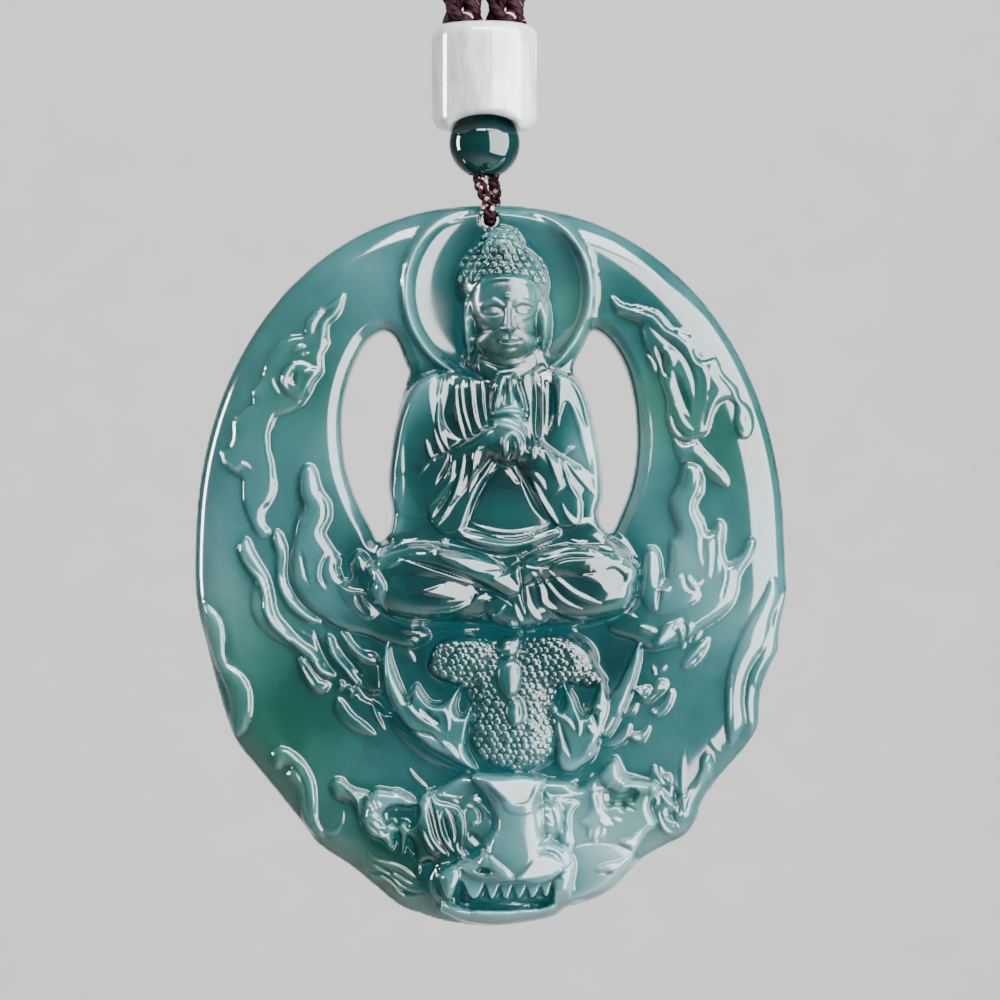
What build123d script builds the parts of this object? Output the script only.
from build123d import *

import math
import os
from typing import NamedTuple

import numpy as np

# A jade pendant on a braided neck cord, in millimetres, +Z up, -Y to the front. The origin is the
# middle of the knot at the nape, where the necklace hangs. The carving hangs by a thin doubled cord
# from a round bead and a barrel bead, and two thick braided cords go round the neck from there.

# Driving sizes of the carving
CARVING_WIDE = 54.0
CARVING_TALL = 66.0
CARVING_DEEP = 10.4
FACET_EDGE = 0.76
UPPER_POWER = 2.15
UPPER_SHARE = 50.8
EDGE_LEVEL = 21.0
GROUND_LEVEL = 46.0
HALO_LEVEL = 27.0
HALO_POWER = 3.5
FOOT_LEVEL = 30.0
RIM_REACH = 3.6
WINDOW_REACH = 1.4
EDGE_CLIMB = 4.4
FORM_POWER = 0.62
FORM_BLEND = 0.16
BACK_CHAMFER = 0.6
HOLE_WIDE = 1.7
HOLE_WEB = 0.5
HOLE_FLARE = 0.15

# Driving sizes of the beads
ROUND_WIDE = 6.5
ROUND_ABOVE = 2.45
BARREL_WIDE = 9.7
BARREL_TALL = 9.75
BARREL_SHOULDER = 1.3
BARREL_SEAT = 2.1
BEAD_BORE = 3.0
BEAD_GAP = 0.15
BEADS_LEFT = 0.5

# Driving sizes of the cords
THIN_WIDE = 1.15
THIN_GAP = 0.25
THIN_SPREAD = 1.3
THIN_RISE = 2.7
THICK_WIDE = 3.8
THICK_GAP = 0.1
KNOT_WIDE = 8.6
KNOT_LONG = 12.0
KNOT_EDGE = 1.4
NAPE_ABOVE = 186.0
STRAIGHT_LOW = 18.0
STRAIGHT_HIGH = 50.0
ARC_SHARE = 0.45

# Half of the neck cord's route, as chosen by hand: mm to the side of the middle, mm below the nape
NECK_ROUTE = [(12.0, 124.0), (36.0, 98.0), (68.0, 76.0), (91.0, 47.0), (86.0, 15.0)]


# The tables below hold shares, in hundredths. Across counts from the middle to the right and up from
# the lowest point, of the carving's width and height. Half widths are shares of the width. A level
# is a height above the back, as a share of the carving's depth.

# The outline's lower part, from the right side down round the bottom to the left side
LOWER_OUTLINE = [
    (50.2, 46.7), (49.7, 43.9), (49.0, 41.1), (48.8, 38.3), (47.6, 36.3), (45.9, 32.8), (45.6, 30.0),
    (45.3, 27.6), (43.2, 24.8), (39.1, 21.0), (35.9, 17.3), (34.9, 14.7), (33.0, 12.6), (29.8, 11.3),
    (25.6, 9.3), (23.0, 7.1), (20.4, 5.0), (17.0, 3.6), (13.0, 2.6), (11.0, 1.4), (6.8, 0.6),
    (0.0, 0.0), (-6.8, 0.6), (-10.8, 1.5), (-15.3, 2.9), (-19.6, 5.7), (-23.8, 8.5), (-28.9, 11.3),
    (-31.5, 14.0), (-34.9, 17.5), (-38.8, 21.4), (-42.6, 25.2), (-44.2, 28.0), (-45.9, 32.4),
    (-48.2, 39.7), (-49.6, 44.6),
]

# The two openings that are cut through beside the figure
WINDOWS = [
    [(-18.0, 82.4), (-15.9, 81.2), (-14.4, 78.2), (-13.8, 76.6), (-14.9, 73.4), (-16.2, 68.9),
     (-17.1, 63.4), (-17.2, 60.4), (-16.6, 57.2), (-17.2, 54.6), (-18.9, 53.4), (-20.3, 55.4),
     (-22.6, 59.0), (-24.4, 63.3), (-25.1, 67.9), (-25.0, 71.7), (-24.1, 75.3), (-22.6, 78.6),
     (-20.6, 81.2)],
    [(17.3, 82.5), (15.8, 80.3), (14.1, 77.3), (15.5, 75.1), (17.0, 71.7), (18.1, 67.5), (18.9, 63.3),
     (19.1, 59.6), (18.4, 57.4), (19.0, 55.6), (20.6, 54.7), (22.1, 57.1), (23.8, 60.8), (24.7, 65.0),
     (24.8, 68.9), (24.3, 73.1), (23.2, 76.7), (21.6, 79.5), (19.5, 81.7)],
]


class Halo(NamedTuple):
    across: float
    up: float
    radius: float
    lip: float
    lip_level: float


class Dome(NamedTuple):
    across: float
    up: float
    half_wide: float
    half_tall: float
    level: float


class Plate(NamedTuple):
    level: float
    edge: float
    loop: list


HALO = Halo(1.4, 87.9, 15.5, 1.0, 52.0)

# Broad masses with rounded edges. The edge is the rounding's reach, as a share of the width
PLATES = [
    # Robe with both arms
    Plate(66, 4.6, [(-8.0, 76.9), (-11.0, 75.8), (-13.3, 73.1), (-15.3, 67.5), (-16.4, 61.9), (-16.2, 57.8),
                    (-17.6, 53.6), (-8.5, 52.9), (2.9, 52.2), (11.9, 52.9), (20.4, 53.9), (18.6, 58.5),
                    (18.6, 63.3), (17.2, 68.9), (15.6, 73.8), (13.6, 76.1), (9.4, 77.2), (2.9, 75.1)]),
    # Crossed legs
    Plate(77, 6.0, [(-20.1, 46.7), (-19.0, 49.4), (-15.3, 51.4), (-8.5, 52.5), (2.9, 51.9), (13.6, 52.9),
                    (20.4, 52.9), (24.1, 50.6), (24.8, 47.4), (23.5, 44.2), (18.7, 42.2), (11.9, 41.4),
                    (5.1, 41.1), (-1.7, 41.8), (-10.2, 42.2), (-17.0, 43.6)]),
    # Beast's beaded chest
    Plate(63, 3.2, [(-8.5, 38.3), (-6.0, 39.7), (0.0, 40.4), (5.1, 40.8), (12.8, 40.4), (17.0, 38.3),
                    (19.2, 34.2), (17.0, 32.8), (12.8, 33.5), (11.9, 28.6), (10.2, 23.8), (6.8, 21.7),
                    (1.7, 21.7), (-1.7, 24.4), (-2.6, 29.3), (-2.0, 32.8), (-6.0, 32.8), (-8.5, 34.9)]),
    # Beast's head, then its muzzle
    Plate(60, 5.0, [(-19.6, 16.8), (-15.3, 19.6), (-8.5, 21.9), (-2.6, 21.4), (8.5, 20.8), (14.5, 19.6),
                    (22.1, 18.9), (28.1, 18.2), (27.2, 13.3), (22.1, 8.5), (17.0, 5.0), (11.9, 2.9),
                    (9.4, 1.1), (-1.7, 1.1), (-6.0, 2.9), (-10.2, 5.7), (-15.3, 8.5), (-19.6, 12.6)]),
    Plate(84, 6.0, [(-9.4, 8.6), (-6.6, 11.6), (-1.4, 11.2), (1.0, 16.0), (-1.6, 20.8), (9.0, 20.4),
                    (7.0, 16.0), (9.0, 11.4), (13.8, 11.4), (15.8, 8.2), (12.0, 6.6), (3.2, 6.2),
                    (-5.4, 6.4)]),
    # Banks of cloud under the flames, left and right
    Plate(54, 2.4, [(-42.0, 54.2), (-37.4, 47.0), (-31.6, 40.4), (-28.8, 34.4), (-22.6, 31.4), (-18.6, 33.6),
                    (-12.6, 36.6), (-9.8, 41.0), (-14.8, 43.0), (-17.4, 49.6), (-21.8, 53.0), (-26.0, 51.0),
                    (-27.6, 57.0), (-30.6, 64.2), (-33.0, 60.0), (-33.4, 53.4), (-36.4, 55.6),
                    (-38.6, 52.0)]),
    Plate(54, 2.4, [(21.4, 45.6), (24.4, 53.0), (27.4, 49.6), (30.8, 53.6), (31.2, 59.4), (33.2, 64.2),
                    (35.4, 60.0), (36.4, 53.4), (39.0, 56.4), (40.2, 50.6), (44.6, 54.0), (42.0, 46.4),
                    (35.6, 40.0), (31.2, 34.0), (27.4, 27.4), (20.6, 27.0), (20.4, 32.6), (22.6, 38.6)]),
]

DOMES = [
    Dome(1.9, 88.8, 8.0, 7.4, 76),      # hair
    Dome(1.9, 94.2, 3.9, 3.4, 70),      # hair's top knot
    Dome(2.7, 84.2, 6.8, 8.0, 84),      # face
    Dome(-5.3, 82.1, 1.5, 5.6, 66),     # ears
    Dome(9.5, 82.8, 1.5, 5.8, 66),
    Dome(2.9, 77.6, 5.4, 2.8, 62),      # neck
    Dome(0.6, 68.6, 9.0, 9.6, 71),      # chest
    Dome(2.9, 72.4, 2.2, 5.0, 84),      # joined hands
    Dome(3.1, 67.4, 3.6, 3.2, 88),
    Dome(2.9, 58.4, 6.6, 5.6, 79),      # belly
    Dome(-11.6, 46.6, 8.8, 5.6, 86),    # knees
    Dome(16.4, 47.0, 8.4, 5.6, 86),
    Dome(5.1, 44.6, 6.0, 4.6, 82),      # hem between the knees
    Dome(-2.9, 36.8, 6.0, 5.2, 68),     # beast's chest
    Dome(11.6, 37.0, 7.4, 5.4, 68),
    Dome(4.3, 26.5, 6.8, 6.2, 70),
    Dome(3.4, 41.4, 1.9, 2.4, 76),      # plates down its middle
    Dome(3.2, 34.6, 2.4, 3.6, 77),
    Dome(3.4, 29.6, 2.0, 2.2, 77),
    Dome(3.7, 18.9, 6.4, 3.8, 82),      # beast's forehead
    Dome(3.9, 10.4, 5.4, 3.6, 95),      # nose
    Dome(-2.6, 9.4, 3.2, 2.6, 90),      # nostrils
    Dome(10.2, 9.6, 3.2, 2.6, 90),
    Dome(-11.6, 13.0, 7.4, 6.4, 72),    # cheeks
    Dome(19.2, 13.6, 8.0, 6.4, 72),
    Dome(-6.6, 15.4, 2.2, 2.0, 78),     # eyes
    Dome(13.0, 15.4, 2.2, 2.0, 78),
    Dome(-34.0, 74.7, 2.7, 2.7, 60),    # cloud curls
    Dome(31.8, 74.7, 3.0, 3.0, 60),
    Dome(-26.2, 19.6, 2.2, 2.2, 62),
]

# Each row of a ridge is across, up, half width and level
RIDGES = [
    # Upper arms and forearms
    [(-10.4, 75.0, 2.6, 62), (-12.6, 70.6, 3.6, 70), (-13.4, 64.6, 3.8, 72), (-12.4, 58.6, 4.0, 76)],
    [(12.9, 75.0, 2.6, 62), (14.8, 70.6, 3.6, 70), (15.6, 64.6, 3.8, 72), (14.6, 58.6, 4.0, 76)],
    [(-12.4, 58.4, 3.8, 74), (-7.4, 60.2, 3.6, 80), (-2.4, 63.4, 2.6, 84), (1.0, 66.8, 1.8, 86)],
    [(14.6, 58.4, 3.8, 74), (11.4, 60.2, 3.4, 80), (7.8, 63.4, 2.4, 84), (5.2, 66.8, 1.8, 86)],
    # Sash, then the crossed shins
    [(-7.4, 55.0, 0.8, 72), (-2.0, 53.4, 1.1, 82), (4.0, 52.9, 1.2, 84), (11.0, 54.8, 0.8, 76)],
    [(-18.4, 49.4, 2.4, 80), (-12.0, 51.0, 2.8, 88), (-4.0, 50.0, 2.8, 92), (3.4, 47.6, 2.2, 88)],
    [(23.0, 49.2, 2.2, 80), (16.0, 50.8, 2.6, 88), (9.4, 50.4, 2.6, 90), (5.0, 48.8, 2.0, 88)],
    # Robe's folds over the shoulders
    [(-7.4, 77.0, 0.7, 66), (-8.6, 72.0, 0.8, 76), (-7.4, 66.6, 0.8, 78), (-9.8, 62.6, 0.6, 76)],
    [(-3.4, 77.4, 0.7, 66), (-3.8, 72.6, 0.8, 78), (-2.4, 68.4, 0.8, 80)],
    [(8.6, 76.8, 0.7, 66), (9.6, 72.0, 0.8, 76), (8.6, 67.2, 0.8, 78), (11.6, 62.6, 0.6, 76)],
    # Beast's nose bridge, upper lip, teeth and jaw
    [(3.7, 19.4, 3.8, 82), (3.8, 15.6, 3.6, 88), (3.9, 11.0, 4.6, 93)],
    [(-8.6, 6.4, 1.0, 74), (-4.6, 7.4, 1.4, 84), (3.0, 6.8, 1.4, 88), (9.0, 8.2, 1.6, 86),
     (13.4, 7.0, 1.0, 76)],
    [(-6.5, 5.4, 1.2, 74), (2.6, 4.9, 1.4, 80), (11.6, 5.9, 1.2, 74)],
    [(-7.6, 3.4, 1.2, 66), (-3.4, 2.0, 1.5, 72), (3.0, 1.6, 1.7, 74), (9.0, 2.2, 1.5, 72),
     (12.6, 4.0, 1.2, 66)],
    # Beast's brows, horns, ears and mane
    [(-3.0, 15.8, 1.2, 80), (-6.4, 18.6, 1.6, 84), (-10.4, 19.0, 1.4, 80), (-13.4, 21.8, 0.6, 66)],
    [(9.6, 15.8, 1.2, 80), (12.8, 18.2, 1.6, 84), (17.0, 18.4, 1.4, 80), (20.6, 21.0, 0.6, 66)],
    [(-10.2, 14.6, 1.0, 74), (-13.0, 17.0, 1.3, 76), (-17.0, 17.4, 1.0, 70), (-19.6, 20.0, 0.5, 60)],
    [(16.6, 14.4, 1.0, 74), (19.2, 16.2, 1.3, 76), (22.6, 15.2, 1.0, 70), (25.4, 12.2, 0.6, 60)],
    [(-17.3, 38.6, 0.5, 58), (-17.0, 34.0, 1.5, 66), (-14.0, 29.6, 2.3, 72), (-8.4, 25.6, 2.5, 72),
     (-2.0, 21.4, 2.2, 74)],
    [(25.0, 38.6, 0.5, 58), (22.8, 34.4, 1.5, 66), (20.0, 30.4, 2.0, 70), (16.4, 26.2, 2.2, 70),
     (11.0, 21.4, 1.8, 70)],
    [(-12.8, 33.4, 0.5, 60), (-12.0, 31.6, 1.8, 68), (-9.0, 28.6, 2.2, 72)],
    [(-5.2, 33.0, 0.4, 60), (-6.0, 30.4, 1.3, 70), (-6.6, 27.4, 1.8, 72)],
    [(-3.4, 30.4, 0.4, 60), (-4.2, 27.4, 1.0, 68), (-4.6, 24.6, 1.4, 70)],
    [(12.2, 33.4, 0.5, 60), (13.6, 30.8, 1.6, 70), (14.4, 27.4, 2.0, 72)],
    [(18.8, 33.6, 0.5, 60), (18.6, 31.2, 1.5, 68), (16.6, 28.0, 2.0, 70)],
    [(-25.9, 19.8, 1.7, 62), (-22.4, 18.0, 1.9, 66), (-19.6, 15.4, 1.6, 68), (-21.6, 13.4, 1.0, 62)],
    [(29.8, 21.0, 1.0, 60), (27.4, 18.6, 1.8, 66), (24.4, 17.2, 2.0, 68)],
    [(-20.8, 10.9, 0.6, 54), (-17.4, 9.0, 0.9, 64), (-13.6, 7.6, 1.0, 68), (-11.4, 6.4, 0.7, 66)],
    [(-20.4, 8.6, 0.6, 54), (-16.6, 7.2, 0.9, 62), (-13.4, 5.6, 0.9, 64), (-10.6, 5.0, 0.6, 62)],
    [(-8.8, 8.2, 1.4, 72), (-7.6, 5.8, 1.4, 76), (-6.8, 3.8, 0.8, 72)],
    [(18.6, 8.4, 1.0, 66), (21.8, 9.4, 1.3, 66), (24.2, 12.6, 1.0, 58)],
    [(27.6, 20.0, 0.8, 60), (28.4, 16.4, 1.2, 62), (31.6, 14.2, 0.9, 56)],
    # Clouds and flames on the left
    [(-30.6, 63.8, 0.6, 54), (-31.2, 60.4, 2.0, 60), (-29.8, 56.0, 2.8, 63), (-27.4, 52.4, 3.2, 65),
     (-24.2, 49.2, 3.4, 66)],
    [(-22.4, 52.0, 0.9, 60), (-19.8, 49.2, 2.3, 68), (-18.0, 45.8, 2.4, 70), (-14.6, 42.6, 1.8, 66)],
    [(-33.4, 50.6, 1.4, 56), (-27.6, 46.4, 3.4, 62), (-21.4, 43.4, 3.8, 66), (-15.2, 40.2, 2.8, 64)],
    [(-41.7, 53.6, 0.6, 50), (-39.4, 49.4, 1.4, 56), (-36.6, 44.0, 1.4, 57), (-30.4, 38.0, 1.2, 54)],
    [(-36.6, 55.0, 0.6, 52), (-35.2, 49.6, 1.3, 58), (-32.6, 45.2, 1.4, 58), (-25.6, 37.4, 1.0, 56)],
    [(-24.8, 87.3, 0.5, 50), (-27.6, 83.2, 0.9, 54), (-31.6, 80.8, 0.9, 55), (-37.0, 79.0, 0.6, 54),
     (-39.6, 73.4, 0.6, 52), (-43.2, 67.0, 0.5, 49)],
    [(-28.4, 77.2, 0.6, 52), (-31.0, 73.2, 0.9, 56), (-36.4, 70.6, 0.8, 56), (-37.6, 64.6, 0.8, 55),
     (-38.0, 57.4, 0.7, 54)],
    [(-48.2, 44.4, 0.6, 46), (-45.6, 39.4, 1.3, 52), (-42.2, 34.0, 1.9, 55), (-43.4, 27.0, 1.0, 48)],
    [(-37.0, 21.8, 0.7, 52), (-33.6, 23.4, 1.0, 56), (-31.0, 18.8, 1.3, 58), (-28.0, 12.8, 0.9, 54)],
    [(-27.4, 40.2, 0.5, 52), (-24.6, 35.6, 1.3, 60), (-22.0, 33.6, 1.4, 62), (-25.4, 31.8, 0.9, 56),
     (-20.0, 27.4, 0.6, 52)],
    # Clouds and flames on the right
    [(33.0, 63.8, 0.6, 54), (32.4, 59.6, 2.0, 60), (33.2, 55.0, 2.4, 63), (35.6, 50.6, 2.6, 64)],
    [(24.2, 52.0, 0.9, 58), (26.6, 48.6, 2.6, 68), (23.4, 44.6, 3.0, 70), (18.0, 42.4, 1.8, 64)],
    [(38.4, 50.0, 1.4, 58), (34.4, 47.4, 2.8, 64), (28.6, 45.2, 3.4, 66), (24.0, 42.6, 2.4, 64)],
    [(38.8, 56.0, 0.6, 54), (38.2, 52.4, 1.4, 60), (36.4, 49.6, 1.6, 62)],
    [(44.2, 53.8, 0.6, 52), (42.6, 50.2, 1.1, 56), (40.4, 46.4, 1.3, 58), (33.6, 38.8, 1.0, 54)],
    [(20.8, 86.8, 0.7, 50), (27.2, 84.2, 1.0, 54), (33.0, 80.4, 1.1, 56), (36.6, 74.0, 0.7, 52)],
    [(25.6, 83.0, 0.6, 52), (29.0, 78.6, 1.4, 56), (30.4, 72.0, 1.3, 56), (33.6, 67.4, 1.8, 58),
     (39.6, 61.8, 0.7, 50)],
    [(38.2, 78.4, 0.6, 50), (41.2, 74.4, 0.8, 54), (43.2, 70.4, 0.9, 54), (43.6, 68.2, 0.6, 52)],
    [(47.6, 48.4, 0.7, 46), (43.8, 43.4, 1.0, 54), (41.2, 36.0, 1.1, 56), (40.8, 26.4, 0.8, 52)],
    [(30.6, 32.4, 0.8, 52), (27.6, 29.8, 1.5, 58), (22.4, 27.0, 1.6, 62)],
    [(32.0, 42.4, 0.7, 54), (28.4, 39.8, 1.5, 62), (24.4, 34.8, 1.6, 64)],
    [(36.8, 24.2, 0.8, 50), (34.6, 20.8, 1.4, 56), (31.6, 14.6, 1.2, 54)],
]

# Places worked out from the sizes above
HOLE_BELOW = HOLE_WEB + HOLE_WIDE / 2
HOLE_Z = -NAPE_ABOVE
CARVING_TOP_Z = HOLE_Z + HOLE_BELOW
CARVING_LOW_Z = CARVING_TOP_Z - CARVING_TALL
ROUND_Z = CARVING_TOP_Z + ROUND_ABOVE + ROUND_WIDE / 2
BARREL_LOW_Z = ROUND_Z + ROUND_WIDE / 2 - BARREL_SEAT
BARREL_TOP_Z = BARREL_LOW_Z + BARREL_TALL
LEVEL = CARVING_DEEP / 100


def to_mm(shares):
    """Turns rows of across and up shares into mm from the carving's lowest middle point."""
    return np.asarray(shares, float) * (CARVING_WIDE / 100, CARVING_TALL / 100)


def smooth_path(knots, closed, steps=6):
    """A Catmull-Rom curve through the knots, with the same number of steps in each span."""
    knots = np.asarray(knots, float)
    if closed:
        before, after, spans = np.roll(knots, 1, 0), np.roll(knots, -1, 0), len(knots)
        beyond = np.roll(knots, -2, 0)
    else:
        before = np.vstack([2 * knots[0] - knots[1], knots[:-2]])
        after = knots[1:]
        beyond = np.vstack([knots[2:], 2 * knots[-1] - knots[-2]])
        spans = len(knots) - 1
    curve = []
    for span in range(spans):
        for step in range(steps):
            t = step / steps
            a, b, c, d = before[span], knots[span], after[span], beyond[span]
            curve.append(0.5 * (2 * b + (c - a) * t + (2 * a - 5 * b + 4 * c - d) * t ** 2
                                + (3 * b - a - 3 * c + d) * t ** 3))
    if not closed:
        curve.append(knots[-1])
    return np.array(curve)


def segment_distances(points, starts, ends):
    """Distance from each point to each segment, and how far along the segment the nearest spot is."""
    span = ends - starts
    offset = points[:, None, :] - starts[None, :, :]
    along = np.clip((offset * span).sum(2) / np.maximum((span ** 2).sum(1), 1e-12), 0, 1)
    return np.linalg.norm(offset - along[:, :, None] * span, axis=2), along


def inside_distance(points, loop):
    """Distance to a closed loop, positive inside it."""
    starts, ends = loop, np.roll(loop, -1, 0)
    distance = segment_distances(points, starts, ends)[0].min(1)
    x, z = points[:, 0:1], points[:, 1:2]
    crosses = (starts[:, 1] > z) != (ends[:, 1] > z)
    rise = np.where(ends[:, 1] == starts[:, 1], 1.0, ends[:, 1] - starts[:, 1])
    meets = starts[:, 0] + (z - starts[:, 1]) / rise * (ends[:, 0] - starts[:, 0])
    inside = (crosses & (x < meets)).sum(1) % 2 == 1
    return np.where(inside, distance, -distance)


def outline_loop():
    """The carving's outline: a rounded oval above, and the lower part through its own points."""
    half_tall = 100 - UPPER_SHARE
    angles = np.radians(np.arange(180, -1, -10))
    power = 2 / UPPER_POWER
    across = 50 * np.sign(np.cos(angles)) * np.abs(np.cos(angles)) ** power
    up = UPPER_SHARE + half_tall * np.sin(angles) ** power
    return smooth_path(to_mm(np.vstack([np.column_stack([across, up]), LOWER_OUTLINE])), True)


OUTLINE = outline_loop()
OPENINGS = [smooth_path(to_mm(window), True) for window in WINDOWS]


def stone_distance(points):
    """Distance to the nearest edge of the stone seen from the front, positive in the stone."""
    return np.minimum(inside_distance(points, OUTLINE), window_distance(points))


def window_distance(points):
    """Distance to the nearest of the two openings, positive outside them."""
    return np.minimum(*[-inside_distance(points, opening) for opening in OPENINGS])


def roundover(distance, reach):
    """A quarter round from 0 at the edge to 1 at the reach."""
    share = np.clip(distance / reach, 0, 1)
    return np.sqrt(1 - (1 - share) ** 2)


def dome_height(points, dome):
    """A rounded boss on an oval foot, far below the ground outside its foot."""
    centre = to_mm([(dome.across, dome.up)])[0]
    halves = np.array([dome.half_wide, dome.half_tall]) * CARVING_WIDE / 100
    room = 1 - (((points - centre) / halves) ** 2).sum(1)
    height = FOOT_LEVEL + (dome.level - FOOT_LEVEL) * np.clip(room, 0, 1) ** FORM_POWER
    return np.where(room > 0, height, 0) * LEVEL


def ridge_height(points, rows):
    """A rounded ridge along a smooth path, whose width and level follow its rows."""
    rows = smooth_path(rows, False)
    path, halves, levels = to_mm(rows[:, :2]), rows[:, 2] * CARVING_WIDE / 100, rows[:, 3]
    distances, along = segment_distances(points, path[:-1], path[1:])
    nearest = distances.argmin(1)
    index = np.arange(len(points))
    share = along[index, nearest]
    half = halves[nearest] * (1 - share) + halves[nearest + 1] * share
    level = levels[nearest] * (1 - share) + levels[nearest + 1] * share
    room = 1 - (distances[index, nearest] / half) ** 2
    height = FOOT_LEVEL + (level - FOOT_LEVEL) * np.clip(room, 0, 1) ** FORM_POWER
    return np.where(room > 0, height, 0) * LEVEL


def plate_height(points, plate):
    """A broad mass that rises from its own loop to an even level."""
    inside = inside_distance(points, smooth_path(to_mm(plate.loop), True))
    rise = roundover(inside, plate.edge * CARVING_WIDE / 100)
    return np.where(inside > 0, FOOT_LEVEL + (plate.level - FOOT_LEVEL) * rise, 0) * LEVEL


def ground_height(points):
    """The frame's plain ground: a rounded rim, bevels round the openings and the sunk halo."""
    rim = roundover(inside_distance(points, OUTLINE), RIM_REACH)
    bevel = roundover(window_distance(points), WINDOW_REACH)
    ground = EDGE_LEVEL + (GROUND_LEVEL - EDGE_LEVEL) * np.minimum(rim, bevel)
    centre = to_mm([(HALO.across, HALO.up)])[0]
    radius, lip = HALO.radius * CARVING_WIDE / 100, HALO.lip * CARVING_WIDE / 100
    from_centre = np.linalg.norm(points - centre, axis=1)
    bowl = HALO_LEVEL + (GROUND_LEVEL - HALO_LEVEL) * (from_centre / radius) ** HALO_POWER
    ground = np.where(from_centre < radius, np.minimum(ground, bowl), ground)
    on_lip = np.clip(1 - ((from_centre - radius) / lip) ** 2, 0, 1) ** FORM_POWER
    lip_height = np.where(on_lip > 0, FOOT_LEVEL + (HALO.lip_level - FOOT_LEVEL) * on_lip, 0)
    return np.maximum(ground, np.minimum(lip_height, EDGE_LEVEL + 100 * bevel)) * LEVEL


def front_height(points):
    """Height of the carved front above the flat back."""
    forms = [plate_height(points, plate) for plate in PLATES]
    forms += [dome_height(points, dome) for dome in DOMES]
    forms += [ridge_height(points, rows) for rows in RIDGES]
    height = ground_height(points) / FORM_BLEND
    for form in forms:
        height = np.logaddexp(height, form / FORM_BLEND)
    limit = EDGE_LEVEL * LEVEL + EDGE_CLIMB * np.sqrt(np.maximum(stone_distance(points), 0))
    return np.minimum(height * FORM_BLEND, limit)


def downhill(points, step=0.02):
    """Unit direction towards the nearest edge of the stone."""
    along_x = stone_distance(points + (step, 0)) - stone_distance(points - (step, 0))
    along_z = stone_distance(points + (0, step)) - stone_distance(points - (0, step))
    slope = np.column_stack([along_x, along_z])
    return -slope / np.maximum(np.linalg.norm(slope, axis=1), 1e-9)[:, None]


def triangle_grid():
    """Corners and triangles of an even grid that covers the carving's front."""
    row_step = FACET_EDGE * math.sqrt(3) / 2
    columns = math.ceil(CARVING_WIDE * 1.02 / FACET_EDGE) + 3
    rows = math.ceil(CARVING_TALL / row_step) + 3
    column, row = np.meshgrid(np.arange(columns), np.arange(rows))
    x = (column - columns / 2 + 0.5 * (row % 2)) * FACET_EDGE
    points = np.column_stack([x.ravel(), (row.ravel() - 1) * row_step])
    triangles = []
    for r in range(rows - 1):
        for c in range(columns - 1):
            low, high = r * columns + c, (r + 1) * columns + c
            if r % 2 == 0:
                triangles += [(low, low + 1, high), (low + 1, high + 1, high)]
            else:
                triangles += [(low, low + 1, high + 1), (low, high + 1, high)]
    return points, triangles


def front_mesh(snap=0.3):
    """The grid trimmed to the stone: corners close to an edge move onto it, and the rest is cut."""
    points, triangles = triangle_grid()
    distance = stone_distance(points)
    near = np.abs(distance) < snap * FACET_EDGE
    points[near] += downhill(points[near]) * distance[near][:, None]
    distance[near] = 0.0
    corners = [tuple(point) for point in points]
    cuts = {}

    def cut(inner, outer):
        key = (inner, outer)
        if key not in cuts:
            a, b = np.array(corners[inner]), np.array(corners[outer])
            share = distance[inner] / (distance[inner] - distance[outer])
            spot = a + (b - a) * share
            spot += (downhill(spot[None]) * stone_distance(spot[None])[:, None])[0]
            corners.append(tuple(spot))
            cuts[key] = len(corners) - 1
        return cuts[key]

    middles = stone_distance(points[np.array(triangles)].mean(1))
    kept = []
    for triangle, middle in zip(triangles, middles):
        inner = [corner for corner in triangle if distance[corner] > 0]
        outer = [corner for corner in triangle if distance[corner] < 0]
        if not outer:
            if inner or middle > 0:
                kept.append(triangle)
            continue
        if not inner:
            continue
        ring = []
        for here, there in zip(triangle, triangle[1:] + triangle[:1]):
            if distance[here] >= 0:
                ring.append(here)
            if distance[here] > 0 > distance[there]:
                ring.append(cut(here, there))
            if distance[here] < 0 < distance[there]:
                ring.append(cut(there, here))
        kept += [(ring[0], ring[k], ring[k + 1]) for k in range(1, len(ring) - 1)]
    return np.array(corners), kept


def edge_rings(triangles):
    """Closed rings of corners along the free edges, in the triangles' own direction."""
    sides = {side for t in triangles for side in zip(t, t[1:] + t[:1])}
    following = {a: b for a, b in sides if (b, a) not in sides}
    rings = []
    while following:
        start = next(iter(following))
        ring = [start]
        while (corner := following.pop(ring[-1])) != start:
            ring.append(corner)
        rings.append(ring)
    return rings


def hole_tool():
    """What the cord's hole takes away: a bore from front to back with flared mouths."""
    reach = CARVING_DEEP
    bore = Cylinder(HOLE_WIDE / 2, 2 * reach)
    back_mouth = Pos(0, 0, -BACK_Y) * Cone(HOLE_WIDE / 2 + HOLE_FLARE, HOLE_WIDE / 2, 2 * HOLE_FLARE)
    front = stone_front_y()
    front_mouth = Pos(0, 0, -front) * Cone(HOLE_WIDE / 2, HOLE_WIDE / 2 + HOLE_FLARE, 2 * HOLE_FLARE)
    return Pos(0, 0, HOLE_Z) * Rot(90, 0, 0) * (bore + back_mouth + front_mouth)


def ground_level_at(inside):
    """Ground height at a distance inside the rim."""
    share = float(roundover(np.array([inside]), RIM_REACH)[0])
    return (EDGE_LEVEL + (GROUND_LEVEL - EDGE_LEVEL) * share) * LEVEL


BACK_Y = ground_level_at(HOLE_WEB) / 2


def stone_front_y():
    """Where the front lies at the hole's middle."""
    return BACK_Y - ground_level_at(HOLE_BELOW)


def place(points, heights):
    """Moves the flat pattern and its heights to the pendant's place in the necklace."""
    return np.column_stack([points[:, 0], BACK_Y - heights, CARVING_LOW_Z + points[:, 1]])


def facet(corners):
    return Face(Wire.make_polygon([Vector(*corner) for corner in corners], close=True))


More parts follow.
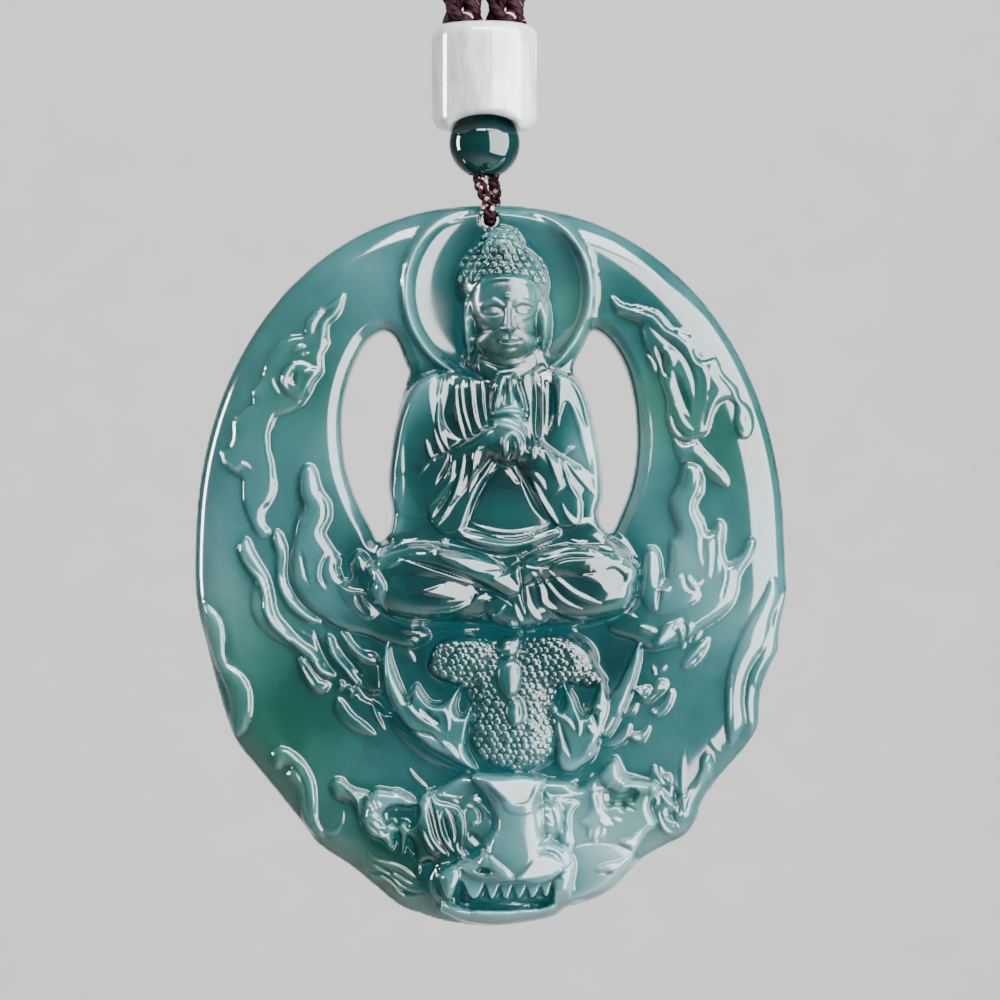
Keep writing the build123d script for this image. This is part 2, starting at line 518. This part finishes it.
def jade_carving():
    """The carved stone: a relief front, straight sides, a chamfer and a flat back."""
    flat, triangles = front_mesh()
    front = place(flat, front_height(flat))
    inner = flat - downhill(flat) * BACK_CHAMFER
    side = place(flat, np.full(len(flat), BACK_CHAMFER))
    back = place(inner, np.zeros(len(flat)))
    faces = [facet(front[list(triangle)]) for triangle in triangles]
    rings = edge_rings(triangles)
    for ring in rings:
        for a, b in zip(ring, ring[1:] + ring[:1]):
            for upper, lower in ((front, side), (side, back)):
                faces.append(facet([upper[a], lower[a], lower[b]]))
                faces.append(facet([upper[a], lower[b], upper[b]]))
    outlines = sorted((Wire.make_polygon([Vector(*back[k]) for k in ring], close=True) for ring in rings),
                      key=lambda wire: wire.bounding_box().diagonal, reverse=True)
    faces.append(Face(outlines[0], outlines[1:]))
    print("carving's faces:", len(faces))
    return Solid(Shell(faces)) - hole_tool()


def round_bead():
    bead = Sphere(ROUND_WIDE / 2) - Cylinder(BEAD_BORE / 2, ROUND_WIDE)
    return Pos(-BEADS_LEFT, 0, ROUND_Z) * bead


def barrel_bead():
    """A short barrel with rounded shoulders, bored through, with a seat for the round bead."""
    body = Cylinder(BARREL_WIDE / 2, BARREL_TALL)
    body = fillet(body.edges(), BARREL_SHOULDER)
    body = Pos(0, 0, BARREL_LOW_Z + BARREL_TALL / 2) * (body - Cylinder(BEAD_BORE / 2, BARREL_TALL))
    return Pos(-BEADS_LEFT, 0, 0) * (body - Pos(0, 0, ROUND_Z) * Sphere(ROUND_WIDE / 2 + BEAD_GAP))


def corner_radii(route):
    """For each corner, the largest arc that its two runs allow."""
    radii = []
    for before, corner, after in zip(route, route[1:], route[2:]):
        first, second = Vector(*corner) - Vector(*before), Vector(*after) - Vector(*corner)
        turn = math.radians(first.get_angle(second))
        radii.append(ARC_SHARE * min(first.length, second.length) / math.tan(turn / 2))
    return radii


def cord_tube(name, route, diameter):
    """A round tube along straight runs and tangent arcs, with its length and volume printed."""
    radii = corner_radii(route)
    path = FilletPolyline(*route, radius=radii)
    start = Plane(path @ 0, z_dir=path % 0)
    tube = sweep(start * Circle(diameter / 2), path=path)
    expected = math.pi * diameter ** 2 / 4 * path.length
    print(name, "length", round(path.length, 1), "volume over section times length",
          round(tube.volume / expected, 4), "radii", [round(radius, 1) for radius in radii])
    return tube


def hanging_cord():
    """The thin cord: down through both beads, through the stone's hole and up again."""
    half_apart = THIN_SPREAD / 2
    outside = max(BACK_Y, -stone_front_y()) + THIN_GAP + THIN_WIDE / 2
    bead_low_z = ROUND_Z - ROUND_WIDE / 2
    down = [(-BEADS_LEFT - half_apart, 0, BARREL_TOP_Z),
            (-BEADS_LEFT - half_apart, 0, bead_low_z - THIN_GAP),
            (-half_apart, -outside, HOLE_Z + THIN_RISE),
            (0, -outside, HOLE_Z)]
    up = [(-x, -y, z) for x, y, z in reversed(down[2:])]
    up += [(half_apart - BEADS_LEFT, 0, z) for x, y, z in reversed(down[:2])]
    return cord_tube("hanging_cord", down + up, THIN_WIDE)


def neck_cord(side):
    """One thick cord, from the barrel's top round one side of the neck to the knot."""
    start = side * (THICK_WIDE + THICK_GAP) / 2 - BEADS_LEFT
    end = side * KNOT_LONG / 2
    route = [(start, 0, BARREL_TOP_Z), (start, 0, BARREL_TOP_Z + STRAIGHT_LOW)]
    route += [(side * x, 0, -below) for x, below in NECK_ROUTE]
    route += [(end + side * STRAIGHT_HIGH, 0, 0), (end, 0, 0)]
    return cord_tube("neck cord", route, THICK_WIDE)


def nape_knot():
    knot = Rot(0, 90, 0) * Cylinder(KNOT_WIDE / 2, KNOT_LONG)
    return fillet(knot.edges(), KNOT_EDGE)


PIECES = {
    "jade_carving": jade_carving,
    "round_bead": round_bead,
    "barrel_bead": barrel_bead,
    "hanging_cord": hanging_cord,
    "neck_cord_left": lambda: neck_cord(-1),
    "neck_cord_right": lambda: neck_cord(1),
    "nape_knot": nape_knot,
}

os.makedirs("parts", exist_ok=True)
for node, make in PIECES.items():
    piece = make()
    export_step(piece, "parts/" + node + ".step")
    print(node, "volume", round(piece.volume, 1))
